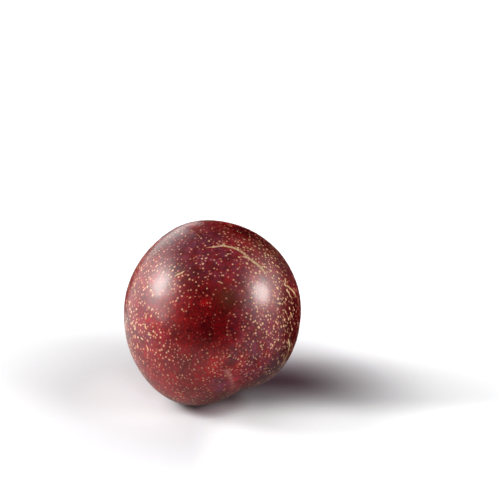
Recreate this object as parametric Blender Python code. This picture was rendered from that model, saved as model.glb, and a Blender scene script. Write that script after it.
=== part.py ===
"""An elephant heart plum, lying on its side with its blossom tip forward.

The fruit is one closed solid. It starts as a cube, divided into a fine grid and
blown up to a ball, and each point of the ball is then moved by formula: the girth
tapers towards the blossom tip, the cheeks swell beside the suture, the suture and
the stem cavity sink in. The fruit is turned into the pose it rests in and cut flat
where its weight bears on the table.
"""
import math

import bmesh
import bpy
import numpy as np
from mathutils import Matrix

# Driving dimensions, in metres. In the fruit's own frame x points to the suture side,
# y to the fuller cheek and z to the stem end, so the blossom tip points along -z.
HALF_DEPTH = 0.0291
HALF_WIDTH = 0.0289
HALF_LENGTH = 0.0299
TAPER = 0.06
TIP_HEIGHT = 0.0009
TIP_SPREAD = 0.06

# Swells of the flesh: degrees round the axis from the suture, degrees of lift towards
# the stem end, height in metres, and degrees of spread. A dent has a negative height.
SWELLS = {
    "full cheek": (52, -16, 0.0031, 50),
    "slim cheek": (-19, -21, 0.0012, 28),
    "shoulder": (-2, 24, 0.0010, 40),
    "belly": (34, -25, 0.0006, 24),
    "back": (178, 24, 0.0010, 24),
    "flat of the back": (163, 30, -0.0005, 24),
}

# The suture: a broad valley between the cheeks with a fine crease along its middle, on
# the +x side. Each grows over its FROM_TIP range of ball x, and fades out on its way to
# the stem end over its TO_STEM range of ball -z.
VALLEY_DEPTH = 0.0028
VALLEY_WIDTH = 0.0120
VALLEY_FROM_TIP = (0.15, 0.95)
VALLEY_TO_STEM = (-0.46, 0.44)
CREASE_DEPTH = 0.0004
CREASE_WIDTH = 0.0018
CREASE_FROM_TIP = (-0.10, 0.40)
CREASE_TO_STEM = (-0.50, 0.40)

# The cavity where the stem was.
CAVITY_DEPTH = 0.0058
CAVITY_WIDTH = 0.0068

# The pose it rests in. The tip points forward (-Y), swung to the right by TIP_SWING and
# down by TIP_DIP, and the fruit is rolled about its length so that the suture, which is
# underneath, comes up a little on the right. CENTRE is the fruit's middle above the
# origin, which is on the table at the middle of the flat spot.
TIP_SWING = 10.5
TIP_DIP = 4.7
ROLL = 16.7
CENTRE = (0.0044, -0.0003, 0.0297)

# Mesh: divisions along each edge of the cube, and how near to the table a point of the
# cut may lie before it counts as lying on it.
DIVISIONS = 24
CUT_SNAP = 0.00005

SKIN_COLOUR = (0.130, 0.008, 0.014, 1.0)
SKIN_ROUGHNESS = 0.32


def clear_scene():
    for item in list(bpy.data.objects):
        bpy.data.objects.remove(item, do_unlink=True)


def ease(value, start, end):
    """0 before start, 1 after end, and a smooth ramp between."""
    t = np.clip((value - start) / (end - start), 0.0, 1.0)
    return t * t * (3.0 - 2.0 * t)


def hump(distance, width):
    return np.exp(-(distance / width) ** 2)


def direction(around, lift):
    """Unit vector at these degrees round the fruit's axis and of lift towards its stem end."""
    around, lift = math.radians(around), math.radians(lift)
    return np.array([
        math.cos(around) * math.cos(lift),
        math.sin(around) * math.cos(lift),
        math.sin(lift),
    ])


def fruit_points(ball):
    """Move points of the unit ball to the fruit's surface, in the fruit's own frame."""
    toward_stem = ball[:, 2]
    point = ball * (HALF_DEPTH, HALF_WIDTH, HALF_LENGTH)
    point[:, :2] *= (1.0 + TAPER * toward_stem)[:, None]

    toward_tip = np.clip(-toward_stem, 0.0, 1.0)
    point[:, 2] -= TIP_HEIGHT * np.exp(-(1.0 - toward_tip) / TIP_SPREAD)

    for around, lift, height, spread in SWELLS.values():
        middle = direction(around, lift)
        angle = np.arccos(np.clip(ball @ middle, -1.0, 1.0))
        point += np.outer(height * hump(angle, math.radians(spread)), middle)

    under, across = ball[:, 0], point[:, 1]
    valley = ease(under, *VALLEY_FROM_TIP) * ease(-toward_stem, *VALLEY_TO_STEM)
    crease = ease(under, *CREASE_FROM_TIP) * ease(-toward_stem, *CREASE_TO_STEM)
    sink = VALLEY_DEPTH * valley * hump(across, VALLEY_WIDTH)
    sink += CREASE_DEPTH * crease * hump(across, CREASE_WIDTH)
    point *= (1.0 - sink / np.linalg.norm(point, axis=1))[:, None]

    from_axis = np.hypot(point[:, 0], point[:, 1])
    point[:, 2] -= np.where(toward_stem > 0.0, CAVITY_DEPTH * hump(from_axis, CAVITY_WIDTH), 0.0)
    return point


def resting_turn():
    """Rotation from the fruit's own frame to the pose it rests in."""
    swing, dip, roll = (math.radians(value) for value in (TIP_SWING, TIP_DIP, ROLL))
    tip = np.array([
        math.sin(swing) * math.cos(dip),
        -math.cos(swing) * math.cos(dip),
        -math.sin(dip),
    ])
    under = np.array([0.0, 0.0, -1.0])
    under = under - (under @ tip) * tip
    under /= np.linalg.norm(under)
    suture = math.cos(roll) * under + math.sin(roll) * np.cross(tip, under)
    return np.stack([suture, np.cross(-tip, suture), -tip], axis=1)


def make_ball(mesh_data, divisions):
    """A cube with a square grid on each side, its points spaced by equal angles on the unit ball."""
    bmesh.ops.create_cube(mesh_data, size=2.0)
    bmesh.ops.subdivide_edges(
        mesh_data, edges=mesh_data.edges[:], cuts=divisions - 1, use_grid_fill=True)
    ball = np.tan(np.array([vert.co[:] for vert in mesh_data.verts]) * math.pi / 4.0)
    return ball / np.linalg.norm(ball, axis=1)[:, None]


def cut_flat_spot(mesh_data):
    """Take off what would lie under the table and close the cut with one flat face."""
    bmesh.ops.bisect_plane(
        mesh_data, geom=mesh_data.verts[:] + mesh_data.edges[:] + mesh_data.faces[:],
        dist=CUT_SNAP, plane_co=(0.0, 0.0, 0.0), plane_no=(0.0, 0.0, -1.0), clear_outer=True)
    rim = [edge for edge in mesh_data.edges if edge.is_boundary]
    for vert in {vert for edge in rim for vert in edge.verts}:
        vert.co.z = 0.0
    bmesh.ops.edgeloop_fill(mesh_data, edges=rim)
    bmesh.ops.recalc_face_normals(mesh_data, faces=mesh_data.faces[:])


def make_skin_material():
    material = bpy.data.materials.new("plum_skin")
    material.use_nodes = True
    shader = material.node_tree.nodes["Principled BSDF"]
    shader.inputs["Base Color"].default_value = SKIN_COLOUR
    shader.inputs["Roughness"].default_value = SKIN_ROUGHNESS
    shader.inputs["Metallic"].default_value = 0.0
    return material


def make_plum():
    mesh_data = bmesh.new()
    ball = make_ball(mesh_data, DIVISIONS)
    resting = fruit_points(ball) @ resting_turn().T
    for vert, place in zip(mesh_data.verts, resting):
        vert.co = place
    bmesh.ops.transform(mesh_data, matrix=Matrix.Translation(CENTRE), verts=mesh_data.verts[:])
    cut_flat_spot(mesh_data)

    mesh = bpy.data.meshes.new("plum")
    mesh_data.to_mesh(mesh)
    mesh_data.free()
    mesh.shade_smooth()
    mesh.set_sharp_from_angle(angle=math.radians(40.0))
    mesh.materials.append(make_skin_material())
    return bpy.data.objects.new("plum", mesh)


def main():
    clear_scene()
    parts = bpy.data.collections.new("elephant_heart_plum")
    bpy.context.scene.collection.children.link(parts)
    parts.objects.link(make_plum())


main()
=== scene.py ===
"""The looks of an elephant heart plum that lies on its side, tip forward.

The fruit's own mesh is shaped by the same formula as the solid that it replaces, at
five times the fineness, and takes the low relief that the solid leaves out: faint lumps,
russet lines, and the folds and scars of stem and flower. Its skin is one procedural
material: crimson to maroon flesh colour, with painted shade that darkens it at the top,
along the right rim and left of the suture's groove, golden dots, which painted light dims
and reddens where shade falls, russet lines, an olive smudge, the pale streak of the suture,
and a thin bloom of wax that is partly painted reflection haze. It lies on white paper in a
pale tent, with a painted shadow under it.
"""
import math
import random

import bmesh
import bpy
import numpy as np
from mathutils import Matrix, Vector, noise
from mathutils.bvhtree import BVHTree
from mathutils.kdtree import KDTree


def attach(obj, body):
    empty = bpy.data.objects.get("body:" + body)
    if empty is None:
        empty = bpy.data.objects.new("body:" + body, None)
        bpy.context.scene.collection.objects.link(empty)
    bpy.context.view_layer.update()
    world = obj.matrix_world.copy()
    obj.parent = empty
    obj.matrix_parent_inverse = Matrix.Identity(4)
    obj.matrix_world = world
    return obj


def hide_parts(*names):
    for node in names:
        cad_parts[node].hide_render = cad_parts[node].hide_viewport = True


MM = 0.001

# The fruit's shape, in metres, as the solid has it. In the fruit's own frame x points to
# the suture side, y to the fuller cheek and z to the stem end.
HALF_DEPTH = 0.0291
HALF_WIDTH = 0.0289
HALF_LENGTH = 0.0299
TAPER = 0.06
TIP_HEIGHT = 0.0009
TIP_SPREAD = 0.06
SWELLS = {
    "full cheek": (52, -16, 0.0031, 50),
    "slim cheek": (-19, -21, 0.0012, 28),
    "shoulder": (-2, 24, 0.0010, 40),
    "belly": (34, -25, 0.0006, 24),
    "back": (178, 24, 0.0010, 24),
    "flat of the back": (163, 30, -0.0005, 24),
}
VALLEY_DEPTH = 0.0028
VALLEY_WIDTH = 0.0120
VALLEY_FROM_TIP = (0.15, 0.95)
VALLEY_TO_STEM = (-0.46, 0.44)
CREASE_DEPTH = 0.0004
CREASE_WIDTH = 0.0018
CREASE_FROM_TIP = (-0.10, 0.40)
CREASE_TO_STEM = (-0.50, 0.40)
CAVITY_DEPTH = 0.0058
CAVITY_WIDTH = 0.0068
TIP_SWING = 10.5
TIP_DIP = 4.7
ROLL = 16.7
CENTRE = np.array([0.0044, -0.0003, 0.0297])

# The mesh of the skin: divisions along each edge of the cube, how near to the table a point
# of the cut may lie before it counts as lying on it, and the sharpest smooth edge in degrees.
DIVISIONS = 120
CUT_SNAP = 0.00001
SMOOTH_ANGLE = 40.0

# The camera, as the photograph has it: a long lens, looking down, with the middle of the
# fruit at FRUIT_PIXEL of a picture 500 pixels wide. It sees nothing nearer than NEAREST_SEEN.
PICTURE = 500
LENS = 120.0
SENSOR = 36.0
LOOK_DOWN = 20.0
FRUIT_PIXEL = (213.8, 312.2)
PIXELS_PER_METRE = 3040.0
NEAREST_SEEN = 0.01

# Russet lines as they lie in the picture: pixels along each line, and its widest, in mm. The
# branches are measured apart from the lines, because they lie close beside them.
RUSSET_LINES = {
    "long arc": ([
        (205, 248.3), (209, 247.5), (215, 247), (219, 246.3), (223, 245.8), (229, 246.9), (233, 247.7),
        (237, 249.2), (241, 251.6), (244, 253.2), (247, 256), (250, 259), (253, 261.2), (256, 263.6),
        (259, 266.2), (262, 269.6), (265, 272.4),
    ], 0.95),
    "upper left": ([(174.5, 276.5), (178, 274.2), (181.5, 273.2), (184, 271.2), (186, 270.6)], 0.62),
    "right edge, outer": ([
        (283.5, 283.5), (285.5, 285.5), (288, 286), (291, 289), (293.5, 291.6), (295.5, 295), (297, 299),
    ], 0.80),
    "low right": ([(288, 338.5), (289, 342.5), (289.5, 346), (288.6, 350), (288, 353)], 0.92),
    "low right, rim": ([(289, 352.5), (286.6, 356.2), (284, 361), (282, 365), (280.5, 368)], 0.74),
    "left dash, upper": ([(146.2, 315), (146, 317), (145.8, 320)], 0.80),
    "left dash, lower": ([(144.7, 323.2), (145.6, 326.5), (146.9, 330)], 0.78),
    "left crumb, upper": ([(149, 306), (149.4, 310.2)], 0.70),
    "left crumb, middle": ([(147.6, 334.6), (150, 334.4), (152.4, 335.4)], 0.70),
    "left crumb, lower": ([(140.6, 337.6), (143.8, 340.2)], 0.66),
    "left crumb, low": ([(146, 344), (148, 349), (147.4, 353)], 0.55),
    "pistil mark": ([(225.4, 357.6), (229, 356.7), (232.6, 356.0)], 0.34),
    "middle crumb": ([(217, 281.5), (220, 282), (223.5, 284)], 0.45),
}
RUSSET_BRANCHES = {
    "long arc, spur": ([(222.6, 246), (223.4, 244.2), (224.4, 246)], 0.60),
    "long arc, lower strand": ([(242, 257), (245, 256.6), (248, 258), (251, 260.6)], 0.66),
    "long arc, broad part": ([
        (245, 255.4), (249, 258.6), (253, 261.2), (257, 264), (261, 267.8), (264, 271), (267.4, 275),
    ], 1.20),
    "right edge, knot": ([(285.2, 278.5), (285.6, 281), (285, 284)], 0.85),
    "right edge, inner": ([(286.6, 286.5), (288.2, 291), (290, 295), (293, 300)], 0.62),
    "low right, inner": ([(284.6, 341), (282.4, 344.4)], 0.50),
    "low right, crumb": ([(284.6, 353.6), (283.6, 356.4)], 0.60),
}

# Russet lines on the sides that the picture doesn't show, short arcs that run round the tip:
# the middle of each in degrees round the fruit's axis and of lift. The sweep round the axis
# and the tilt, in degrees, and the width, in mm, are drawn. Each arc waves by a few degrees,
# with so many radians of the wave along it.
HIDDEN_LINES = ((95, 38), (140, 45), (-60, 35), (-100, 22), (-145, 45), (60, 50), (175, 62), (20, 25))
HIDDEN_SEED = 11
HIDDEN_SWEEP = (8, 26)
HIDDEN_TILT = (-9, 9)
HIDDEN_WIDTH = (0.25, 0.5)
HIDDEN_WAVE = 1.2
HIDDEN_WAVE_RADIANS = 7
HIDDEN_STEPS = 24

# How the nearest russet line is found, in mm: how far from a line its fields reach and how
# far out its width holds, how far round a stretch of it is searched, the distance that
# stands for none, and the power that blunts its ends.
RUSSET_REACH = 1.5
RUSSET_WIDTH_REACH = 1.3
RUSSET_SEARCH = 2.5
RUSSET_NONE = 9.0
RUSSET_BLUNT = 0.6
# A way from the fruit's middle that ends well outside it, in metres.
OUTSIDE = 0.1

# What varies slowly over the skin: crimson against maroon, with painted shade in it, how many
# dots there are, how wide and how bright they are, their brightness being partly painted light,
# olive smudges, the pale streak of the suture, and wax bloom, partly painted reflection haze.
# Each has a level, clouds (size in mm and amount), and soft patches: where, radius in mm and
# amount. A seen patch lies at a pixel of the picture, and a hidden one at degrees round the
# fruit's axis and of lift.
SKIN_FIELDS = {
    # Crimson share. Its seen patches also paint shade: darker at the top, along the right rim and left of
    # the suture's groove.
    "crimson_and_painted_shade": {
        "level": 0.48, "clouds": (13.0, 0.12),
        "seen": [
            ((214, 361), 4.5, 0.12), ((209, 374), 4.0, 0.16), ((237, 367), 3.0, 0.24),
            ((203, 303), 1.6, 0.50), ((213, 360), 1.2, 0.20), ((216, 366), 1.2, 0.24),
            ((218, 374), 1.3, 0.18), ((235.5, 379), 1.5, 0.40), ((214, 350), 6.0, 0.05),
            ((232, 360), 0.9, -0.22), ((232, 365), 1.1, -0.16), ((217, 381), 2.8, -0.30),
            ((200, 358), 8.0, 0.06), ((144, 325), 9.0, 0.10), ((167, 315), 5.0, 0.06),
            ((248, 264), 9.0, 0.15), ((225, 345), 5.0, 0.10), ((190, 280), 6.0, 0.05),
            ((240, 256), 6.0, 0.06), ((277, 355), 4.0, 0.16), ((150, 340), 4.0, 0.08),
            ((248, 358), 6.0, -0.06), ((178, 388), 9.0, 0.14), ((184, 400), 5.0, 0.28),
            ((206, 384), 4.0, 0.22), ((243, 379), 7.0, 0.24), ((152, 380), 6.0, 0.16),
            ((276, 342), 5.0, 0.08), ((251, 339), 5.0, 0.08), ((228, 324), 3.0, 0.06),
            ((274, 312), 4.5, 0.16), ((208, 330), 6.5, -0.24), ((198, 298), 4.0, -0.10),
            ((182, 246), 10.0, -0.20), ((165, 240), 6.0, -0.12), ((150, 275), 8.0, 0.02),
            ((195, 268), 7.0, -0.12), ((155, 336), 6.0, 0.08), ((205, 228), 6.0, -0.12),
            ((243, 231), 4.0, -0.36), ((264, 242), 4.0, -0.28), ((240, 246), 6.0, 0.05),
            ((284, 263), 6.0, -0.34), ((293, 318), 8.0, -0.42), ((292, 346), 7.0, -0.35),
            ((281, 360), 8.0, -0.34), ((267, 373), 6.0, -0.18),
        ],
        "hidden": [
            ((-130, 55), 12.0, -0.10), ((120, 42), 15.0, -0.12), ((175, 15), 13.0, 0.05),
            ((0, 60), 16.0, -0.12),
        ],
    },
    "dots": {
        "level": 0.095, "clouds": (12.0, 0.02),
        "seen": [
            ((270, 325), 10.0, 0.090), ((272, 262), 8.0, 0.045), ((240, 372), 8.0, 0.060),
            ((246, 243), 7.0, 0.075), ((236, 226), 4.5, -0.035), ((264, 242), 4.0, -0.010),
            ((205, 318), 12.0, -0.022), ((290, 318), 6.5, 0.035), ((299, 312), 4.5, -0.050),
            ((230, 297), 4.0, -0.060), ((213, 364), 7.0, 0.090), ((216, 365), 4.0, 0.080),
            ((243, 357), 4.0, 0.030), ((229, 361), 2.2, -0.20), ((231, 380), 2.2, -0.20),
            ((214, 380), 3.0, -0.03), ((190, 232), 5.0, -0.03),
        ],
        "hidden": [((120, 10), 20.0, 0.03), ((-100, 25), 18.0, 0.03)],
    },
    "dot_size": {
        "level": 1.0, "clouds": (8.0, 0.12),
        "seen": [
            ((270, 325), 9.0, 0.05), ((292, 314), 8.0, 0.30), ((260, 247), 8.0, 0.14),
            ((228, 229), 8.0, -0.18), ((130, 335), 8.0, 0.28), ((190, 398), 8.0, 0.10),
            ((205, 322), 9.0, -0.27), ((172, 250), 9.0, -0.14), ((222, 368), 8.0, 0.16),
        ],
        "hidden": [],
    },
    # How bright and golden the dots are, partly painted light: lower where shade falls, in the middle, at
    # the top and along the right rim.
    "dot_tone_and_painted_light": {
        "level": 0.84, "clouds": (9.0, 0.12),
        "seen": [
            ((287, 312), 9.0, 0.20), ((298, 310), 6.0, -0.30), ((205, 328), 10.0, -0.44),
            ((205, 265), 8.0, -0.08), ((264, 258), 9.0, 0.30), ((236, 226), 6.0, -0.18),
            ((222, 362), 8.0, -0.10), ((190, 385), 9.0, -0.10), ((160, 365), 8.0, -0.10),
            ((230, 297), 4.0, -0.20), ((150, 320), 9.0, 0.08), ((180, 245), 9.0, -0.18),
            ((126, 330), 8.0, 0.15), ((247, 238), 8.0, 0.12),
        ],
        "hidden": [],
    },
    "olive": {
        "level": 0.0, "clouds": (9.0, 0.05),
        "seen": [((229, 297), 3.4, 0.75), ((168, 308), 2.0, 0.30), ((230.5, 362), 0.9, 0.22)],
        "hidden": [((150, 62), 7.0, 0.50), ((-60, 60), 6.0, 0.40), ((70, 68), 5.0, 0.35)],
    },
    "pale": {
        "level": 0.0, "clouds": (3.0, 0.02),
        "seen": [
            ((227.0, 370.5), 0.65, 0.75), ((228.0, 373), 0.70, 0.90), ((229.2, 375.6), 0.70, 0.90),
            ((230.8, 378.2), 0.72, 0.90), ((232.0, 381), 0.74, 0.85), ((232.4, 384), 0.70, 0.80),
            ((231.8, 387), 0.62, 0.75), ((231.6, 390), 0.62, 0.75), ((232, 393), 0.62, 0.65),
        ],
        "hidden": [],
    },
    # Wax bloom, partly painted reflection haze: thicker beside the left highlight and on the left side,
    # thinner at the top and along the right rim.
    "bloom_and_painted_haze": {
        "level": 0.20, "clouds": (16.0, 0.22),
        "seen": [
            ((240, 228), 7.0, -0.50), ((264, 242), 7.0, -0.40), ((297, 318), 9.0, -0.70),
            ((219, 384), 3.0, 1.10), ((225, 388), 2.4, 1.80), ((262, 340), 11.0, 0.70),
            ((180, 248), 10.0, 0.40), ((146, 325), 11.0, 0.35), ((230, 266), 10.0, 0.50),
            ((180, 301), 4.5, 0.50), ((250, 380), 8.0, 0.60), ((205, 318), 12.0, -0.60),
            ((180, 390), 9.0, -0.15),
        ],
        "hidden": [((150, 40), 14.0, 0.35), ((-110, 20), 16.0, 0.35)],
    },
}

# How the clouds of the fields differ from each other, and from those of the relief.
FIELD_SEED = 5.0
FIELD_SEED_STEP = 11.0
SEED_SHIFT = (1.0, 2.7, -1.3)

# The golden dots: how many places for one are tried, how near two may be, how wide most of
# them are and how much that varies, how many in a hundred are short dashes, which run round
# the fruit, how far those are stretched, and the power of that by which they thin. In mm.
DOT_SEED = 7
DOT_TRIES = 60000
DOT_GAP = 0.76
DOT_RADIUS = 0.30
DOT_SPREAD = 0.26
DOT_SPREAD_LIMITS = (0.6, 1.45)
DOT_DASHES = 22
DASH_STRETCH = (1.3, 1.75)
DASH_THINNING = 0.4

# Low relief, in mm. Lumps: size, seed and height. Russet: height, and the slope at its edge.
LUMPS = ((11.0, 3.0, 0.10), (3.5, 8.0, 0.035))
RUSSET_HEIGHT = 0.05
RUSSET_EDGE = (-0.12, 0.12)
# Folds of the stem cavity: how many, how far and how often they waver, their height, and
# where they lie: distance from the axis and spread.
FOLDS = 13.0
FOLD_WAVER = (2.0, 3.0)
FOLD_HEIGHT = 0.10
FOLD_PLACE = (7.0, 4.0)
# The pad that the stem came off, and its hollow middle as a share of the pad's height. The
# edges are counted inwards to the axis, so they are negative.
STEM_PAD_HEIGHT = 0.55
STEM_PAD_EDGE = (-2.1, -1.6)
STEM_HOLLOW = 0.8
STEM_HOLLOW_EDGE = (-1.0, -0.3)
# The blossom scar at the tip: a ring (height, radius and spread) and its pit.
SCAR_RING = (0.16, 1.0, 0.45)
SCAR_PIT = (-0.30, 0.6)
# The relief runs out above the table over this height.
RELIEF_FADE = (0.2 * MM, 2.0 * MM)

# Colours of the skin.
MAROON = (0.048, 0.0011, 0.0028, 1.0)
CRIMSON = (0.620, 0.0080, 0.0120, 1.0)
OLIVE = (0.080, 0.026, 0.008, 1.0)
PALE_STREAK = (0.62, 0.22, 0.19, 1.0)
ROSY_DOT = (0.68, 0.13, 0.090, 1.0)
GOLDEN_DOT = (0.96, 0.65, 0.36, 1.0)
ROSY_SPECK = (0.70, 0.22, 0.15, 1.0)
RUSSET_DEEP = (0.54, 0.30, 0.135, 1.0)
RUSSET_PALE = (0.85, 0.62, 0.37, 1.0)
WAX_AND_PAINTED_HAZE = (0.26, 0.14, 0.33, 1.0)

# What clouds the flesh colour: size in mm, detail, roughness and amount of each noise. The
# streaks run round the fruit.
FLESH_NOISES = {
    "clouds": (5.0, 4.0, 0.55, 0.8),
    "mottle": (1.1, 2.0, 0.6, 0.60),
    "speckle": (0.55, 1.0, 0.5, 0.40),
    "streaks": (1.6, 3.0, 0.6, 0.4),
}
STREAK_STRETCH = (0.22, 0.22, 1.0)
CRIMSON_CONTRAST = 2.0
# Millimetres of skin for each radian from the tip, for patterns that run round the fruit.
SKIN_PER_RADIAN = 30.0

# The dots' look: the noise that makes them uneven (size, detail and amount), the slope of
# their edge, what light and shade add to their tone, where that starts, and how shade sets
# their strength.
DOT_UNEVEN = (0.3, 1.0, 0.7)
DOT_EDGE = (0.66, 1.05, 1.0, 0.0)
DOT_TONE_LIGHT = 1.3
DOT_TONE_SHADE = 0.7
DOT_TONE_START = -0.95
DOT_STRENGTH = (0.0, 0.8, 0.50, 1.20)
# The specks between them: size of their noise, and the slope that picks its peaks.
SPECK_SIZE = 0.42
SPECK_PEAKS = (0.60, 0.72, 0.0, 0.07)

# The russet's look: the noise that frays its edge (size, detail and amount), the slopes of
# its edge and of the thinnest line that shows, its two tones, and how far it covers.
RUSSET_FRAY = (0.7, 2.0, 0.42)
RUSSET_SHARPNESS = (-0.05, 0.09)
RUSSET_THINNEST = (0.02, 0.10)
RUSSET_MOTTLE = (0.6, 2.0)
RUSSET_TONES = (0.35, 0.65)
RUSSET_COVER = 0.94

# The bloom's look: where it is rubbed through (noise and slope), and how far it covers.
RUBBED = (2.4, 5.0, 0.65)
RUBBED_THROUGH = (0.36, 0.66, 0.05, 1.75)
BLOOM_COVER = 0.12

# Gloss: roughness and clear coat of the bare skin, and what bloom, dots and russet change.
ROUGHNESS = 0.28
BLOOM_ROUGHNESS = 0.08
DOT_ROUGHNESS = 0.05
RUSSET_ROUGHNESS = 0.22
COAT = 0.42
COAT_LOSS = -0.35
DOT_MATT = 0.2

# Fine relief by bump, in mm: pimples and orange-peel (size, detail and height), and how far
# dots and russet stand up.
PIMPLES = (0.42, 1.0, 0.040)
PEEL = (0.9, 2.0, 0.050)
DOT_BUMP = 0.030
RUSSET_BUMP = 0.05
BUMP_STRENGTH = 0.5


def ease(value, start, end):
    """0 before start, 1 after end, and a smooth ramp between."""
    t = np.clip((value - start) / (end - start), 0.0, 1.0)
    return t * t * (3.0 - 2.0 * t)


def hump(distance, width):
    return np.exp(-(distance / width) ** 2)


def direction(around, lift):
    """Unit vector at these degrees round the fruit's axis and of lift towards its stem end."""
    around, lift = math.radians(around), math.radians(lift)
    return np.array([
        math.cos(around) * math.cos(lift),
        math.sin(around) * math.cos(lift),
        math.sin(lift),
    ])


def fruit_points(ball):
    """Move points of the unit ball to the fruit's surface, in the fruit's own frame."""
    toward_stem = ball[:, 2]
    point = ball * (HALF_DEPTH, HALF_WIDTH, HALF_LENGTH)
    point[:, :2] *= (1.0 + TAPER * toward_stem)[:, None]

    toward_tip = np.clip(-toward_stem, 0.0, 1.0)
    point[:, 2] -= TIP_HEIGHT * np.exp(-(1.0 - toward_tip) / TIP_SPREAD)

    for around, lift, height, spread in SWELLS.values():
        middle = direction(around, lift)
        angle = np.arccos(np.clip(ball @ middle, -1.0, 1.0))
        point += np.outer(height * hump(angle, math.radians(spread)), middle)

    under, across = ball[:, 0], point[:, 1]
    valley = ease(under, *VALLEY_FROM_TIP) * ease(-toward_stem, *VALLEY_TO_STEM)
    crease = ease(under, *CREASE_FROM_TIP) * ease(-toward_stem, *CREASE_TO_STEM)
    sink = VALLEY_DEPTH * valley * hump(across, VALLEY_WIDTH)
    sink += CREASE_DEPTH * crease * hump(across, CREASE_WIDTH)
    point *= (1.0 - sink / np.linalg.norm(point, axis=1))[:, None]

    from_axis = np.hypot(point[:, 0], point[:, 1])
    point[:, 2] -= np.where(toward_stem > 0.0, CAVITY_DEPTH * hump(from_axis, CAVITY_WIDTH), 0.0)
    return point


def resting_turn():
    """Rotation from the fruit's own frame to the pose it rests in."""
    swing, dip, roll = (math.radians(value) for value in (TIP_SWING, TIP_DIP, ROLL))
    tip = np.array([
        math.sin(swing) * math.cos(dip),
        -math.cos(swing) * math.cos(dip),
        -math.sin(dip),
    ])
    under = np.array([0.0, 0.0, -1.0])
    under = under - (under @ tip) * tip
    under /= np.linalg.norm(under)
    suture = math.cos(roll) * under + math.sin(roll) * np.cross(tip, under)
    return np.stack([suture, np.cross(-tip, suture), -tip], axis=1)


class Eye:
    """The camera's place and axes, and the line of sight through a pixel of the picture."""

    def __init__(self):
        down = math.radians(LOOK_DOWN)
        self.right = np.array([1.0, 0.0, 0.0])
        self.up = np.array([0.0, math.sin(down), math.cos(down)])
        self.ahead = np.array([0.0, math.cos(down), -math.sin(down)])
        self.focal = LENS / SENSOR * PICTURE
        away = self.focal / PIXELS_PER_METRE
        side, rise = self.offset(FRUIT_PIXEL)
        self.place = CENTRE - away * (self.ahead + side * self.right + rise * self.up)

    def offset(self, pixel):
        """How far right and up a pixel lies from the middle of the view, at a distance of 1."""
        return (pixel[0] - PICTURE / 2) / self.focal, (PICTURE / 2 - pixel[1]) / self.focal

    def sight(self, pixel):
        side, rise = self.offset(pixel)
        line = self.ahead + side * self.right + rise * self.up
        return line / np.linalg.norm(line)


EYE = Eye()


def make_ball(mesh_data, divisions):
    """A cube with a square grid on each side, its points spaced by equal angles on the unit ball."""
    bmesh.ops.create_cube(mesh_data, size=2.0)
    bmesh.ops.subdivide_edges(
        mesh_data, edges=mesh_data.edges[:], cuts=divisions - 1, use_grid_fill=True)
    ball = np.tan(np.array([vert.co[:] for vert in mesh_data.verts]) * math.pi / 4.0)
    return ball / np.linalg.norm(ball, axis=1)[:, None]


def cut_flat_spot(mesh_data):
    """Take off what would lie under the table and close the cut with one flat face."""
    bmesh.ops.bisect_plane(
        mesh_data, geom=mesh_data.verts[:] + mesh_data.edges[:] + mesh_data.faces[:],
        dist=CUT_SNAP, plane_co=(0.0, 0.0, 0.0), plane_no=(0.0, 0.0, -1.0), clear_outer=True)
    rim = [edge for edge in mesh_data.edges if edge.is_boundary]
    for vert in {vert for edge in rim for vert in edge.verts}:
        vert.co.z = 0.0
    bmesh.ops.edgeloop_fill(mesh_data, edges=rim)
    bmesh.ops.recalc_face_normals(mesh_data, faces=mesh_data.faces[:])


def seen_point(tree, pixel):
    """The point of the fruit under a pixel of the picture."""
    return np.array(tree.ray_cast(Vector(EYE.place), Vector(EYE.sight(pixel)))[0])


def skin_point(tree, turn, around, lift):
    """The point of the fruit in this direction from its middle."""
    out = turn @ direction(around, lift)
    return np.array(tree.ray_cast(Vector(CENTRE + OUTSIDE * out), Vector(-out))[0])


def line_on_skin(tree, pixels):
    """Points on the fruit under a line of pixels, one for every half pixel along it."""
    found = []
    for start, end in zip(pixels, pixels[1:]):
        steps = max(2, round(2 * math.dist(start, end)))
        for step in range(steps):
            pixel = np.array(start) + (np.array(end) - start) * step / steps
            hit = tree.ray_cast(Vector(EYE.place), Vector(EYE.sight(pixel)))[0]
            if hit is not None:
                found.append(hit[:])
    return np.array(found)


def hidden_lines(tree, turn):
    """The russet lines of the sides that the picture doesn't show."""
    draw = random.Random(HIDDEN_SEED)
    lines = []
    for around, lift in HIDDEN_LINES:
        sweep = draw.uniform(*HIDDEN_SWEEP)
        tilt = draw.uniform(*HIDDEN_TILT)
        points = []
        for step in range(HIDDEN_STEPS + 1):
            share = step / HIDDEN_STEPS - 0.5
            wave = HIDDEN_WAVE * math.sin(HIDDEN_WAVE_RADIANS * share + around)
            points.append(skin_point(tree, turn, around + sweep * share, lift + tilt * share + wave))
        lines.append((np.array(points), draw.uniform(*HIDDEN_WIDTH)))
    return lines


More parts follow.
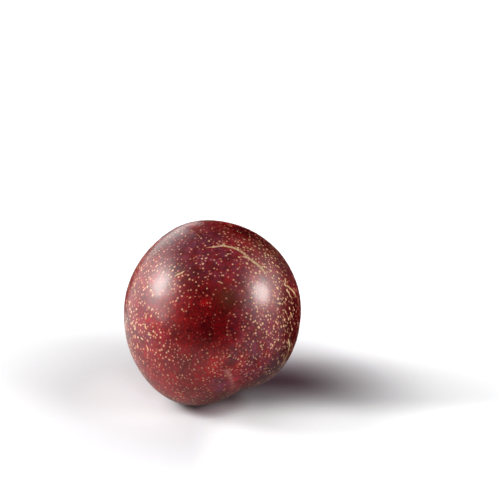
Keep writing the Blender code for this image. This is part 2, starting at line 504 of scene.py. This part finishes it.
def russet_fields(place, normal, lines):
    """For each point of the skin, its signed distance from the nearest russet line and that
    line's half width there, both in mm. The width runs out at the line's ends."""
    across = np.full(len(place), RUSSET_NONE)
    half_width = np.zeros(len(place))
    nearest = np.full(len(place), RUSSET_REACH * MM)
    for points, widest in lines:
        length = np.r_[0.0, np.cumsum(np.linalg.norm(np.diff(points, axis=0), axis=1))]
        for index in range(len(points) - 1):
            start, step = points[index], points[index + 1] - points[index]
            near = np.where(np.abs(place - start).max(axis=1) < RUSSET_SEARCH * MM)[0]
            if not len(near):
                continue
            offset = place[near] - start
            along = np.clip(offset @ step / (step @ step), 0.0, 1.0)
            offset -= along[:, None] * step
            gap = np.linalg.norm(offset, axis=1)
            side = np.sign((np.cross(step, normal[near]) * offset).sum(axis=1))
            better = gap < nearest[near]
            chosen = near[better]
            nearest[chosen] = gap[better]
            across[chosen] = (side * gap)[better] / MM
            share = (length[index] + along[better] * np.linalg.norm(step)) / length[-1]
            bend = np.sin(math.pi * np.clip(share, 0.0, 1.0)) ** RUSSET_BLUNT
            half_width[chosen] = 0.5 * widest * bend * (gap[better] < RUSSET_WIDTH_REACH * MM)
    return across, half_width


def fractal(place, size, seed):
    """Smooth noise over the skin with features of this size in mm, from about -1 to 1."""
    shift = Vector([seed * axis for axis in SEED_SHIFT])
    return np.array([noise.noise(Vector(p) / (size * MM) + shift) for p in place])


def skin_values(name, place, tree, turn):
    """One of the skin's fields at these points."""
    field = SKIN_FIELDS[name]
    size, amount = field["clouds"]
    seed = FIELD_SEED_STEP * list(SKIN_FIELDS).index(name) + FIELD_SEED
    values = field["level"] + amount * fractal(place, size, seed)
    spots = [(seen_point(tree, pixel), radius, add) for pixel, radius, add in field["seen"]]
    spots += [(skin_point(tree, turn, *way), radius, add) for way, radius, add in field["hidden"]]
    for middle, radius, add in spots:
        values += add * hump(np.linalg.norm(place - middle, axis=1), radius * MM)
    return values


def lookup(points):
    """A tree that finds the nearest of these points."""
    tree = KDTree(len(points))
    for index, point in enumerate(points):
        tree.insert(point, index)
    tree.balance()
    return tree


def scatter_dots(tree, turn):
    """Dots all over the skin, none too near another: the middle of each, its two directions on
    the skin, its half length and half width along them, and a shade from 0 to 1."""
    draw = np.random.default_rng(DOT_SEED)
    ways = draw.normal(size=(DOT_TRIES, 3))
    ways /= np.linalg.norm(ways, axis=1)[:, None]
    middle = fruit_points(ways) @ turn.T + CENTRE
    middle = middle[draw.random(DOT_TRIES) < skin_values("dots", middle, tree, turn)]
    tried = lookup(middle)
    kept = []
    blocked = set()
    for index, point in enumerate(middle):
        if index not in blocked:
            kept.append(index)
            blocked.update(found[1] for found in tried.find_range(point, DOT_GAP * MM))
    middle = middle[kept]
    count = len(middle)
    normal = np.array([tree.find_nearest(Vector(point))[1][:] for point in middle])
    around = np.cross(turn[:, 2], normal)
    around /= np.linalg.norm(around, axis=1)[:, None]
    along = np.cross(normal, around)
    size = DOT_RADIUS * np.exp(DOT_SPREAD * draw.normal(size=count)).clip(*DOT_SPREAD_LIMITS)
    size *= skin_values("dot_size", middle, tree, turn)
    dash = draw.random(count) < DOT_DASHES / 100
    stretch = np.where(dash, draw.uniform(*DASH_STRETCH, count), 1.0)
    return middle, around, along, size * stretch, size / stretch ** DASH_THINNING, draw.random(count)


def put_dots(mesh, dots):
    """For each corner of a face, where it lies across the dot nearest to that face, measured in
    the dot's own half length and half width, and the dot's shade."""
    middle, around, along, half_length, half_width, shade = dots
    faces = len(mesh.polygons)
    centre = np.empty(3 * faces, np.float32)
    sides = np.empty(faces, np.int32)
    mesh.polygons.foreach_get("center", centre)
    mesh.polygons.foreach_get("loop_total", sides)
    corner = np.empty(len(mesh.loops), np.int32)
    mesh.loops.foreach_get("vertex_index", corner)
    place = np.empty(3 * len(mesh.vertices), np.float32)
    mesh.vertices.foreach_get("co", place)
    near = lookup(middle)
    dot = np.repeat([near.find(point)[1] for point in centre.reshape(-1, 3)], sides)
    offset = (place.reshape(-1, 3)[corner] - middle[dot]) / MM
    values = np.stack([
        (offset * around[dot]).sum(axis=1) / half_length[dot],
        (offset * along[dot]).sum(axis=1) / half_width[dot],
        shade[dot],
    ], axis=1)
    field = mesh.attributes.new("dot", "FLOAT_VECTOR", "CORNER")
    field.data.foreach_set("vector", np.ascontiguousarray(values, np.float32).ravel())


def put_field(mesh, name, values):
    """Store a number or a vector for each vertex."""
    kind, key = ("FLOAT_VECTOR", "vector") if values.ndim == 2 else ("FLOAT", "value")
    field = mesh.attributes.new(name, kind, "POINT")
    field.data.foreach_set(key, np.ascontiguousarray(values, np.float32).ravel())


def make_fruit():
    """The fruit at rest, with its relief and the fields that its skin is coloured by."""
    turn = resting_turn()
    mesh_data = bmesh.new()
    ball = make_ball(mesh_data, DIVISIONS)
    for vert, place in zip(mesh_data.verts, fruit_points(ball) @ turn.T + CENTRE):
        vert.co = place
    cut_flat_spot(mesh_data)
    mesh_data.normal_update()
    tree = BVHTree.FromBMesh(mesh_data)
    place = np.array([vert.co[:] for vert in mesh_data.verts])
    normal = np.array([vert.normal[:] for vert in mesh_data.verts])
    own = (place - CENTRE) @ turn

    lines = [(line_on_skin(tree, pixels), widest) for pixels, widest in RUSSET_LINES.values()]
    branches = [(line_on_skin(tree, pixels), widest) for pixels, widest in RUSSET_BRANCHES.values()]
    russet = {
        "russet_line": russet_fields(place, normal, lines + hidden_lines(tree, turn)),
        "russet_branch": russet_fields(place, normal, branches),
    }

    # Relief, in mm along the normal.
    from_axis = np.hypot(own[:, 0], own[:, 1]) / MM
    tip_side = own[:, 2] < 0.0
    angle = np.arctan2(own[:, 1], own[:, 0])
    relief = sum(height * fractal(place, size, seed) for size, seed, height in LUMPS)
    for across, half_width in russet.values():
        relief += RUSSET_HEIGHT * ease(half_width - np.abs(across), *RUSSET_EDGE)
    waver, wavers = FOLD_WAVER
    fold_middle, fold_spread = FOLD_PLACE
    folds = np.cos(FOLDS * angle + waver * np.sin(wavers * angle))
    relief += np.where(tip_side, 0.0, FOLD_HEIGHT * folds * hump(from_axis - fold_middle, fold_spread))
    stem_pad = ease(-from_axis, *STEM_PAD_EDGE) - STEM_HOLLOW * ease(-from_axis, *STEM_HOLLOW_EDGE)
    relief += np.where(tip_side, 0.0, STEM_PAD_HEIGHT * stem_pad)
    ring_height, ring_radius, ring_spread = SCAR_RING
    pit_height, pit_spread = SCAR_PIT
    scar = ring_height * hump(from_axis - ring_radius, ring_spread)
    scar += pit_height * hump(from_axis, pit_spread)
    relief += np.where(tip_side, scar, 0.0)
    relief *= ease(place[:, 2], *RELIEF_FADE)
    for vert, move in zip(mesh_data.verts, normal * relief[:, None] * MM):
        vert.co += Vector(move)

    mesh = bpy.data.meshes.new("plum_skin")
    mesh_data.to_mesh(mesh)
    mesh_data.free()
    mesh.shade_smooth()
    mesh.set_sharp_from_angle(angle=math.radians(SMOOTH_ANGLE))

    # Fields for the skin's colour. In round_mm, the third axis is the way from the tip.
    from_tip = np.arccos(np.clip(-own[:, 2] / np.linalg.norm(own, axis=1), -1.0, 1.0))
    along = SKIN_PER_RADIAN * from_tip
    put_field(mesh, "own_mm", own / MM)
    put_field(mesh, "round_mm", np.stack([own[:, 0] / MM, own[:, 1] / MM, along], axis=1))
    for name, (across, half_width) in russet.items():
        put_field(mesh, name, np.stack([across, half_width, 0.0 * across], axis=1))
    for name in SKIN_FIELDS:
        put_field(mesh, name, skin_values(name, place, tree, turn))
    put_dots(mesh, scatter_dots(tree, turn))

    fruit = bpy.data.objects.new("plum_skin", mesh)
    bpy.context.scene.collection.objects.link(fruit)
    return fruit


class Wiring:
    """Adds nodes to a node tree. An input that is a socket is linked, and any other is set."""

    def __init__(self, tree):
        self.tree = tree

    def put(self, node, key, value):
        socket = node.inputs[key]
        if isinstance(value, bpy.types.NodeSocket):
            self.tree.links.new(value, socket)
        else:
            socket.default_value = value

    def add(self, kind, inputs=None, **settings):
        node = self.tree.nodes.new(kind)
        for key, value in settings.items():
            setattr(node, key, value)
        for key, value in (inputs or {}).items():
            self.put(node, key, value)
        return node

    def sum(self, operation, first, second=0.0, third=0.0, clamp=False):
        inputs = {0: first, 1: second, 2: third}
        return self.add("ShaderNodeMath", inputs, operation=operation, use_clamp=clamp).outputs[0]

    def slope(self, value, low, high, low_to=0.0, high_to=1.0):
        """A smooth ramp from low_to, where value is low, to high_to, where it is high."""
        node = self.add("ShaderNodeMapRange", {
            "Value": value, "From Min": low, "From Max": high, "To Min": low_to, "To Max": high_to,
        }, interpolation_type="SMOOTHSTEP")
        return node.outputs["Result"]

    def blend(self, share, first, second, how="MIX"):
        node = self.add("ShaderNodeMix", data_type="RGBA", blend_type=how)
        self.put(node, "Factor", share)
        self.put(node, 6, first)
        self.put(node, 7, second)
        return node.outputs[2]

    def field(self, name):
        return self.add("ShaderNodeAttribute", attribute_name=name)

    def clouds(self, vector, size, detail=3.0, roughness=0.55):
        """Noise with features of this size, in the vector's own unit."""
        node = self.add("ShaderNodeTexNoise", {
            "Vector": vector, "Scale": 1.0 / size, "Detail": detail, "Roughness": roughness})
        return node.outputs["Fac"]


def make_skin_material():
    material = bpy.data.materials.new("plum_skin")
    material.use_nodes = True
    tree = material.node_tree
    tree.nodes.clear()
    wiring = Wiring(tree)
    own = wiring.field("own_mm").outputs["Vector"]
    round_mm = wiring.field("round_mm").outputs["Vector"]

    # Flesh colour showing through: crimson to maroon, clouded, mottled and finely streaked, and
    # darkened by the painted shade of the crimson field.
    streak_way = wiring.add("ShaderNodeMapping", {"Vector": round_mm, "Scale": STREAK_STRETCH}).outputs[0]
    crimson_and_painted_shade = wiring.field("crimson_and_painted_shade").outputs["Fac"]
    for name, (size, detail, roughness, amount) in FLESH_NOISES.items():
        noises = wiring.clouds(streak_way if name == "streaks" else own, size, detail, roughness)
        crimson_and_painted_shade = wiring.sum("MULTIPLY_ADD", wiring.sum("SUBTRACT", noises, 0.5), amount, crimson_and_painted_shade)
    crimson_and_painted_shade = wiring.sum("MAXIMUM", crimson_and_painted_shade, 0.0, clamp=True)
    crimson_and_painted_shade = wiring.sum("POWER", crimson_and_painted_shade, CRIMSON_CONTRAST)
    colour = wiring.blend(crimson_and_painted_shade, MAROON, CRIMSON)
    colour = wiring.blend(wiring.field("olive").outputs["Fac"], colour, OLIVE)
    colour = wiring.blend(wiring.field("pale").outputs["Fac"], colour, PALE_STREAK)

    # Dots: cream to gold where they are bright, and rosier and fainter where they are dim, with
    # faint specks between them. How bright they are is partly painted light, so they dim and
    # redden where shade falls.
    light = wiring.field("dot_tone_and_painted_light").outputs["Fac"]
    dot = wiring.add("ShaderNodeSeparateXYZ", {"Vector": wiring.field("dot").outputs["Vector"]}).outputs
    across = wiring.add("ShaderNodeCombineXYZ", {"X": dot["X"], "Y": dot["Y"]}).outputs[0]
    reach = wiring.add("ShaderNodeVectorMath", {0: across}, operation="LENGTH").outputs["Value"]
    size, detail, amount = DOT_UNEVEN
    uneven = wiring.sum("SUBTRACT", wiring.clouds(own, size, detail), 0.5)
    reach = wiring.sum("MULTIPLY_ADD", uneven, amount, reach)
    disc = wiring.slope(reach, *DOT_EDGE)
    tone = wiring.sum("MULTIPLY_ADD", dot["Z"], DOT_TONE_SHADE, DOT_TONE_START)
    tone = wiring.sum("MULTIPLY_ADD", light, DOT_TONE_LIGHT, tone, clamp=True)
    gold = wiring.blend(tone, ROSY_DOT, GOLDEN_DOT)
    specks = wiring.slope(wiring.clouds(own, SPECK_SIZE, 0.0), *SPECK_PEAKS)
    colour = wiring.blend(wiring.sum("MULTIPLY", specks, light, clamp=True), colour, ROSY_SPECK)
    strength = wiring.sum("MULTIPLY", light, wiring.slope(dot["Z"], *DOT_STRENGTH))
    colour = wiring.blend(wiring.sum("MULTIPLY", disc, strength, clamp=True), colour, gold)

    # Russet lines, ragged along their edges.
    size, detail, fray = RUSSET_FRAY
    ragged = wiring.sum("SUBTRACT", wiring.clouds(own, size, detail), 0.5)

    def line_mask(name):
        vector = wiring.field(name).outputs["Vector"]
        gap, half_width, _ = wiring.add("ShaderNodeSeparateXYZ", {"Vector": vector}).outputs
        inside = wiring.sum("SUBTRACT", half_width, wiring.sum("ABSOLUTE", gap))
        inside = wiring.sum("MULTIPLY_ADD", ragged, fray, inside)
        on_line = wiring.slope(half_width, *RUSSET_THINNEST)
        return wiring.sum("MULTIPLY", wiring.slope(inside, *RUSSET_SHARPNESS), on_line)

    russet = wiring.sum("MAXIMUM", line_mask("russet_line"), line_mask("russet_branch"))
    russet_tone = wiring.slope(wiring.clouds(own, *RUSSET_MOTTLE), *RUSSET_TONES)
    russet_colour = wiring.blend(russet_tone, RUSSET_DEEP, RUSSET_PALE)
    colour = wiring.blend(wiring.sum("MULTIPLY", russet, RUSSET_COVER), colour, russet_colour)

    # Wax bloom: a blue-lavender haze, rubbed through, that lies thin over everything, and is
    # partly painted reflection haze.
    bloom_and_painted_haze = wiring.field("bloom_and_painted_haze").outputs["Fac"]
    rubbed = wiring.slope(wiring.clouds(own, *RUBBED), *RUBBED_THROUGH)
    bloom_and_painted_haze = wiring.sum("MULTIPLY", bloom_and_painted_haze, rubbed)
    colour = wiring.blend(wiring.sum("MULTIPLY", bloom_and_painted_haze, BLOOM_COVER), colour, WAX_AND_PAINTED_HAZE)

    rough = wiring.sum("MULTIPLY_ADD", bloom_and_painted_haze, BLOOM_ROUGHNESS, ROUGHNESS)
    rough = wiring.sum("MULTIPLY_ADD", disc, DOT_ROUGHNESS, rough)
    rough = wiring.sum("MULTIPLY_ADD", russet, RUSSET_ROUGHNESS, rough)
    matt = wiring.sum("MAXIMUM", russet, wiring.sum("MULTIPLY", disc, DOT_MATT))
    coat = wiring.sum("MULTIPLY_ADD", matt, COAT_LOSS, COAT)

    # Fine relief: dots and russet a little proud, pimples, and a faint orange-peel.
    size, detail, peel_height = PEEL
    height = wiring.sum("MULTIPLY", wiring.clouds(own, size, detail, 0.5), peel_height)
    size, detail, pimple_height = PIMPLES
    height = wiring.sum("MULTIPLY_ADD", wiring.clouds(own, size, detail, 0.5), pimple_height, height)
    height = wiring.sum("MULTIPLY_ADD", disc, DOT_BUMP, height)
    height = wiring.sum("MULTIPLY_ADD", russet, RUSSET_BUMP, height)
    bump = wiring.add("ShaderNodeBump", {"Height": height, "Strength": BUMP_STRENGTH, "Distance": MM})

    shader = wiring.add("ShaderNodeBsdfPrincipled", {
        "Base Color": colour, "Roughness": rough, "Coat Weight": coat, "Normal": bump.outputs[0],
        "Coat Roughness": 0.22, "Coat IOR": 1.45, "IOR": 1.45, "Specular IOR Level": 0.31,
    })
    out = wiring.add("ShaderNodeOutputMaterial")
    tree.links.new(shader.outputs[0], out.inputs["Surface"])
    return material


# The paper: its half width, how far it lies below the flat spot, its colour, and the colours
# of the painted shadow under the fruit and of the painted contact shadow, tinted red, close
# round the flat spot.
PAPER_HALF_WIDTH = 4.0
PAPER_DROP = 0.00005
PAPER = (0.87, 0.895, 0.95, 1.0)
PAPER_PAINTED_SHADOW = (0.10, 0.05, 0.075, 1.0)
PAPER_PAINTED_CONTACT_SHADOW = (0.47, 0.32, 0.34, 1.0)
# Spots of the paper, in metres to the right and away from the camera, and the slopes that
# its looks change by: from and to, in metres, and the amount at each end. A slope starts
# from a spot, or runs across to the right, to the front, or to the front left. A glow is
# added and the rest multiplies. What it gives back is how pale it is to the light that it
# throws on the fruit: a painted shade, dimmer at the front left and by the shadow and
# brighter towards the left.
PAPER_SPOTS = {
    "middle": (0.0, 0.0),
    "left": (-0.018, 0.0),
    "right": (0.036, -0.017),
    "shadow": (0.020, -0.004),
    "touch": (0.004, -0.007),
}
FRONT_LEFT = (-0.5, -0.87, 0.0)
PAPER_SLOPES = {
    "near glow, from the middle": (0.030, 0.090, 0.0, 0.32),
    "far glow, from the middle": (0.10, 0.60, 0.0, 0.20),
    "front glow, to the front": (0.002, 0.022, 0.0, 0.36),
    "front glow, across": (-0.004, 0.014, 0.0, 1.0),
    "left glow, from the left": (0.004, 0.028, 0.22, 0.0),
    "left glow, across": (-0.014, -0.004, 1.0, 0.0),
    "right glow, from the right": (0.004, 0.021, 0.115, 0.0),
    "glow in gloss, across": (-0.10, -0.03, 0.42, 0.0),
    "glow in gloss, to the front": (0.015, 0.045, 1.0, 0.0),
    "painted shade given back, to the front left": (0.05, 0.17, 0.72, 0.08),
    "painted shade given back, across": (-0.15, -0.05, 1.35, 1.0),
    "painted shade given back, from the shadow": (0.015, 0.065, 0.45, 1.0),
    "painted shadow, from the shadow": (0.015, 0.060, 1.0, 0.0),
    "painted shadow, to the front": (-0.012, 0.020, 1.0, 0.0),
    "painted contact shadow, from the touch": (0.006, 0.014, 1.0, 0.0),
}


def make_floor():
    """White paper. The camera sees it glow a little, more with distance, as in an overexposed
    tent, and sees a painted shadow deepen it under the fruit. The fruit sees it dim at the front
    left and by the shadow and brighter towards the left, a painted shade, and sees a glowing
    patch of it on the left in its gloss, a painted reflection."""
    mesh_data = bmesh.new()
    bmesh.ops.create_grid(mesh_data, x_segments=1, y_segments=1, size=PAPER_HALF_WIDTH)
    bmesh.ops.translate(mesh_data, vec=(0.0, 0.0, -PAPER_DROP), verts=mesh_data.verts[:])
    mesh = bpy.data.meshes.new("floor")
    mesh_data.to_mesh(mesh)
    mesh_data.free()
    material = bpy.data.materials.new("floor_paper")
    material.use_nodes = True
    wiring = Wiring(material.node_tree)
    shader = material.node_tree.nodes["Principled BSDF"]
    ray = wiring.add("ShaderNodeLightPath").outputs
    place = wiring.add("ShaderNodeTexCoord").outputs["Object"]
    across, back, _ = wiring.add("ShaderNodeSeparateXYZ", {"Vector": place}).outputs
    front = wiring.sum("MULTIPLY", back, -1.0)

    def slope(name, value):
        return wiring.slope(value, *PAPER_SLOPES[name])

    def gap(spot):
        between = {0: place, 1: (*PAPER_SPOTS[spot], 0.0)}
        return wiring.add("ShaderNodeVectorMath", between, operation="DISTANCE").outputs["Value"]

    near_glow = slope("near glow, from the middle", gap("middle"))
    far_glow = slope("far glow, from the middle", gap("middle"))
    front_glow = wiring.sum(
        "MULTIPLY", slope("front glow, to the front", front), slope("front glow, across", across))
    left_glow = wiring.sum(
        "MULTIPLY", slope("left glow, from the left", gap("left")), slope("left glow, across", across))
    right_glow = slope("right glow, from the right", gap("right"))
    glow = near_glow
    for more in (far_glow, front_glow, left_glow, right_glow):
        glow = wiring.sum("ADD", glow, more)
    glow = wiring.sum("MULTIPLY", glow, ray["Is Camera Ray"])
    gloss_glow = wiring.sum(
        "MULTIPLY", slope("glow in gloss, across", across), slope("glow in gloss, to the front", front))
    glow = wiring.sum("MULTIPLY_ADD", gloss_glow, ray["Is Glossy Ray"], glow)

    # Painted shade on the light that the paper gives back to the fruit.
    front_left = wiring.add("ShaderNodeVectorMath", {0: place, 1: FRONT_LEFT}, operation="DOT_PRODUCT")
    shade = slope("painted shade given back, to the front left", front_left.outputs["Value"])
    shade = wiring.sum("MULTIPLY", shade, slope("painted shade given back, across", across))
    shade = wiring.sum("MULTIPLY", shade, slope("painted shade given back, from the shadow", gap("shadow")))
    given_back_painted_shade = wiring.add("ShaderNodeCombineColor", {0: shade, 1: shade, 2: shade}).outputs[0]

    # Painted shadow under the fruit, and a painted contact shadow, tinted red, round the flat spot.
    under = wiring.sum(
        "MULTIPLY", slope("painted shadow, from the shadow", gap("shadow")), slope("painted shadow, to the front", front))
    paper = wiring.blend(under, PAPER, PAPER_PAINTED_SHADOW)
    paper = wiring.blend(slope("painted contact shadow, from the touch", gap("touch")), paper, PAPER_PAINTED_CONTACT_SHADOW, "MULTIPLY")
    wiring.put(shader, "Base Color", wiring.blend(ray["Is Camera Ray"], given_back_painted_shade, paper))
    wiring.put(shader, "Emission Strength", glow)
    shader.inputs["Emission Color"].default_value = (1.0, 1.0, 1.0, 1.0)
    shader.inputs["Roughness"].default_value = 0.8
    shader.inputs["Specular IOR Level"].default_value = 0.1
    mesh.materials.append(material)
    floor = bpy.data.objects.new("floor", mesh)
    bpy.context.scene.collection.objects.link(floor)


# The dark cards that shape the skin's gloss: how far from the fruit each starts and stands,
# the height it starts at, and its tops, as bearings in degrees and heights. In metres.
CARDS = {
    "card_right": (0.036, 0.095, 0.0006, (
        (90, 0.040), (104, 0.054), (120, 0.066), (134, 0.088), (144, 0.120), (154, 0.148), (187, 0.165))),
    "card_left": (0.094, 0.095, 0.002, (
        (-177, 0.050), (-168, 0.053), (-158, 0.062), (-145, 0.056), (-128, 0.042))),
    "card_back": (0.094, 0.095, 0.086, ((184, 0.164), (200, 0.172))),
}
CARD_COLOUR = (0.10, 0.006, 0.008, 1.0)
# The grid that a card is bent from, and the share of its rows that lies level.
CARD_COLUMNS = 36
CARD_ROWS = 12
CARD_LYING_ROWS = 0.4


def make_card(name, inner, outer, bottom, tops):
    """A dark curved card that only the skin's gloss sees. It lies level from inner to outer, at
    the height of its bottom, and stands up there to its tops."""
    bearings, heights = zip(*tops)
    mesh_data = bmesh.new()
    bmesh.ops.create_grid(mesh_data, x_segments=CARD_COLUMNS, y_segments=CARD_ROWS, size=0.5)
    for vert in mesh_data.verts:
        turn, rise = vert.co.x + 0.5, vert.co.y + 0.5
        bearing = bearings[0] + (bearings[-1] - bearings[0]) * turn
        way = studio_way(bearing, 0.0)
        lying = min(rise / CARD_LYING_ROWS, 1.0)
        standing = max(rise - CARD_LYING_ROWS, 0.0) / (1.0 - CARD_LYING_ROWS)
        top = np.interp(bearing, bearings, heights)
        vert.co = Vector(CENTRE * (1, 1, 0)) + (inner + (outer - inner) * lying) * way
        vert.co.z = bottom + (top - bottom) * standing
    mesh = bpy.data.meshes.new(name)
    mesh_data.to_mesh(mesh)
    mesh_data.free()
    material = bpy.data.materials.new("card_dark")
    material.use_nodes = True
    shader = material.node_tree.nodes["Principled BSDF"]
    shader.inputs["Base Color"].default_value = CARD_COLOUR
    shader.inputs["Roughness"].default_value = 0.9
    shader.inputs["Specular IOR Level"].default_value = 0.0
    mesh.materials.append(material)
    card = bpy.data.objects.new(name, mesh)
    card.visible_camera = False
    card.visible_diffuse = False
    card.visible_shadow = False
    bpy.context.scene.collection.objects.link(card)


def studio_way(bearing, height):
    """Unit vector towards these degrees from the camera's side to the right, and above the floor."""
    bearing, height = math.radians(bearing), math.radians(height)
    return Vector((
        math.sin(bearing) * math.cos(height),
        -math.cos(bearing) * math.cos(height),
        math.sin(height),
    ))


# The lamps: bearing and height in degrees, distance and size in metres, watts, and what
# they light. A gloss one is a panel that shows in the skin, and the fill is unseen there.
LAMPS = {
    "soft_box_left": (-93, 28, 0.8, 0.28, 2.6, "all"),
    "soft_box_right": (82.5, 30, 0.8, 0.32, 5.3, "gloss"),
    "fill_right": (64, 26, 0.8, 0.40, 3.9, "fill"),
}
# The white tent round the table: bearing and height of each glow in degrees, its
# strength, how tightly it is gathered, and what it lights.
TENT_GLOWS = {
    "left wall, front": (-74, 6, 5.0, 60.0, "all"),
    "left wall, middle": (-91, 12, 3.3, 40.0, "all"),
    "left wall, wide": (-118, 1, 2.2, 9.0, "all"),
    "left wall, upper": (-73, 22, 0.30, 25.0, "all"),
    "round the soft box": (-91, 31, 8.2, 38.0, "all"),
    "behind the soft box": (-112, 30, 5.3, 42.0, "all"),
    "left roof": (-130, 42, 0.12, 9.0, "all"),
    "back": (-162, 18, 2.5, 17.0, "all"),
    "right wall, front": (70, 8, 1.2, 40.0, "gloss"),
    "right wall": (90, 8, 1.0, 9.0, "gloss"),
    "round the right box": (102, 25, 3.8, 18.0, "gloss"),
    "right back": (115, 10, 0.3, 9.0, "gloss"),
    "right roof": (85, 42, 0.3, 9.0, "gloss"),
    "roof": (0, 85, 0.2, 9.0, "gloss"),
}
# The tint of all light, and how bright the backdrop is to the camera.
LIGHT_TINT = (1.0, 0.975, 0.935)
BACKDROP = 1.0


def make_lights():
    for name, (bearing, height, away, size, watts, lights) in LAMPS.items():
        light = bpy.data.lights.new(name, "AREA")
        light.shape = "DISK"
        light.size = size
        light.energy = watts
        light.color = LIGHT_TINT
        lamp = bpy.data.objects.new(name, light)
        way = studio_way(bearing, height)
        lamp.location = Vector(CENTRE) + away * way
        lamp.rotation_mode = "QUATERNION"
        lamp.rotation_quaternion = way.to_track_quat("Z", "Y")
        lamp.visible_diffuse = lights != "gloss"
        lamp.visible_glossy = lights != "fill"
        bpy.context.scene.collection.objects.link(lamp)

    world = bpy.data.worlds.new("studio")
    world.use_nodes = True
    tree = world.node_tree
    tree.nodes.clear()
    wiring = Wiring(tree)
    way = wiring.add("ShaderNodeTexCoord").outputs["Generated"]
    ray = wiring.add("ShaderNodeLightPath").outputs
    glow = 0.0
    for bearing, height, strength, gather, lights in TENT_GLOWS.values():
        toward = {0: way, 1: studio_way(bearing, height)}
        facing = wiring.add("ShaderNodeVectorMath", toward, operation="DOT_PRODUCT").outputs["Value"]
        lobe = wiring.sum("EXPONENT", wiring.sum("MULTIPLY_ADD", facing, gather, -gather))
        if lights == "gloss":
            lobe = wiring.sum("MULTIPLY", lobe, ray["Is Glossy Ray"])
        glow = wiring.sum("MULTIPLY_ADD", lobe, strength, glow)
    strength = wiring.add("ShaderNodeMix", {"Factor": ray["Is Camera Ray"], 2: glow, 3: BACKDROP})
    background = wiring.add("ShaderNodeBackground", {
        "Color": (*LIGHT_TINT, 1.0), "Strength": strength.outputs[0]})
    out = wiring.add("ShaderNodeOutputWorld")
    tree.links.new(background.outputs[0], out.inputs["Surface"])
    bpy.context.scene.world = world
    # The tent isn't sampled apart, so the cards that stand before it hide it from the gloss.
    world.cycles.sampling_method = "NONE"


def make_camera():
    data = bpy.data.cameras.new("camera")
    data.lens = LENS
    data.sensor_width = SENSOR
    data.clip_start = NEAREST_SEEN
    camera = bpy.data.objects.new("camera", data)
    camera.location = EYE.place
    camera.rotation_euler = (math.radians(90.0 - LOOK_DOWN), 0.0, 0.0)
    bpy.context.scene.collection.objects.link(camera)
    bpy.context.scene.camera = camera
    bpy.context.scene.view_settings.view_transform = "Standard"


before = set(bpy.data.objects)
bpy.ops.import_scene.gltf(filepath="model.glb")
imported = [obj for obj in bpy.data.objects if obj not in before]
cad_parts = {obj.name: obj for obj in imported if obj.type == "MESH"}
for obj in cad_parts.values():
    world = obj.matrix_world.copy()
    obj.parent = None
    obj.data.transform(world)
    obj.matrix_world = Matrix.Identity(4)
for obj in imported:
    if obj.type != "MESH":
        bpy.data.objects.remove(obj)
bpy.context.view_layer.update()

make_camera()
make_lights()
make_floor()
for card_name, card_shape in CARDS.items():
    make_card(card_name, *card_shape)
plum = make_fruit()
plum.data.materials.append(make_skin_material())
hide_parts("plum")
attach(plum, "root")
